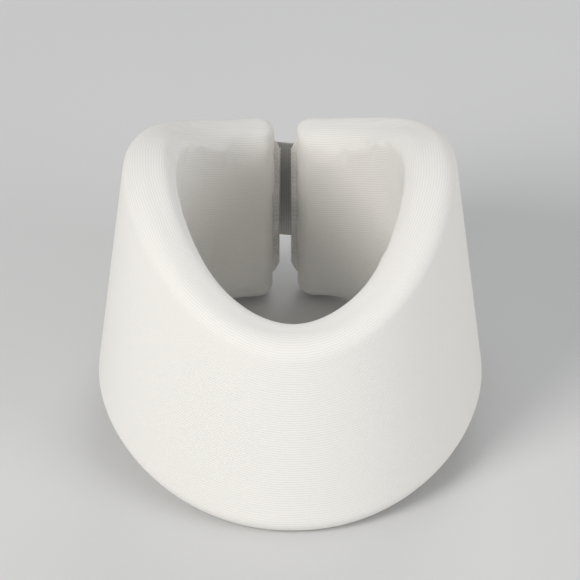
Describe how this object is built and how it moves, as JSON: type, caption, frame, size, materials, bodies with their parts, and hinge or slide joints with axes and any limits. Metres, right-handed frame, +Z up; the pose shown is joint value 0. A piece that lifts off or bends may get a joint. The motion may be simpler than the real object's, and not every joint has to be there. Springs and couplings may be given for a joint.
{
  "type": "cervical collar",
  "caption": "Soft cervical collar: a contoured foam band in a white knitted cover with a chin dip, closed at the back by a hook-and-loop strap.",
  "frame": {"origin": "on the surface it stands on, below the middle of the collar's bounding box", "axes": "+Z up, the front with its chin dip faces -Y, the closure is at +Y, the wearer's left is +X"},
  "size_m": [0.1532, 0.1753, 0.121],
  "materials": {
    "cover": "matte white cotton knit",
    "foam": "open-cell polyurethane foam",
    "seam": "overlocked knit edge",
    "loop": "brushed nylon loop pile",
    "hook": "moulded nylon hooks on a woven ground",
    "tape": "woven nylon tape",
    "thread": "polyester sewing thread"
  },
  "bodies": {
    "front_panel": {"foam_core_front": "foam", "cover_front": "cover"},
    "left_side": {"foam_core_left_side": "foam", "cover_left_side": "cover"},
    "left_back": {"foam_core_left_back": "foam", "cover_left_back": "cover", "end_seam_left": "seam", "strap_anchor": "tape", "strap_anchor_stitching": "thread"},
    "right_side": {"foam_core_right_side": "foam", "cover_right_side": "cover"},
    "right_back": {"foam_core_right_back": "foam", "cover_right_back": "cover", "end_seam_right": "seam", "loop_panel": "loop", "loop_panel_stitching": "thread"},
    "strap": {"closure_strap": "tape", "hook_patch": "hook", "hook_stitching": "thread"},
    "strap_tip": {"strap_pull_tab": "tape", "hook_patch_tip": "hook", "hook_stitching_tip": "thread"}
  },
  "joints": [
    {"name": "left_side_flex", "type": "hinge", "parent": "front_panel", "child": "left_side", "pos_m": [0.05752, -0.05203, 0.05], "axis": [0.0939, -0.0734, -0.9929], "range_deg": [0, 24], "stiffness_Nm_per_rad": 0.05},
    {"name": "left_back_flex", "type": "hinge", "parent": "left_side", "child": "left_back", "pos_m": [0.07083, 0.01594, 0.05], "axis": [0.1156, 0.0288, -0.9929], "range_deg": [0, 24], "stiffness_Nm_per_rad": 0.05},
    {"name": "right_side_flex", "type": "hinge", "parent": "front_panel", "child": "right_side", "pos_m": [-0.05752, -0.05203, 0.05], "axis": [0.0939, 0.0734, 0.9929], "range_deg": [0, 24], "stiffness_Nm_per_rad": 0.05},
    {"name": "right_back_flex", "type": "hinge", "parent": "right_side", "child": "right_back", "pos_m": [-0.07083, 0.01594, 0.05], "axis": [0.1156, -0.0288, 0.9929], "range_deg": [0, 24], "stiffness_Nm_per_rad": 0.05},
    {"name": "strap_fold", "type": "hinge", "parent": "left_back", "child": "strap", "pos_m": [0.00583, 0.08181, 0.05], "axis": [0.0093, 0.1188, -0.9929], "range_deg": [0, 150]},
    {"name": "tab_peel", "type": "hinge", "parent": "strap", "child": "strap_tip", "pos_m": [-0.04334, 0.06753, 0.05], "axis": [-0.0666, 0.0988, -0.9929], "range_deg": [0, 120]}
  ],
  "couplings": [
    {"joint": "left_side_flex", "follows": "strap_fold", "ratio": 0.16},
    {"joint": "left_back_flex", "follows": "strap_fold", "ratio": 0.16},
    {"joint": "right_side_flex", "follows": "strap_fold", "ratio": 0.16},
    {"joint": "right_back_flex", "follows": "strap_fold", "ratio": 0.16}
  ]
}
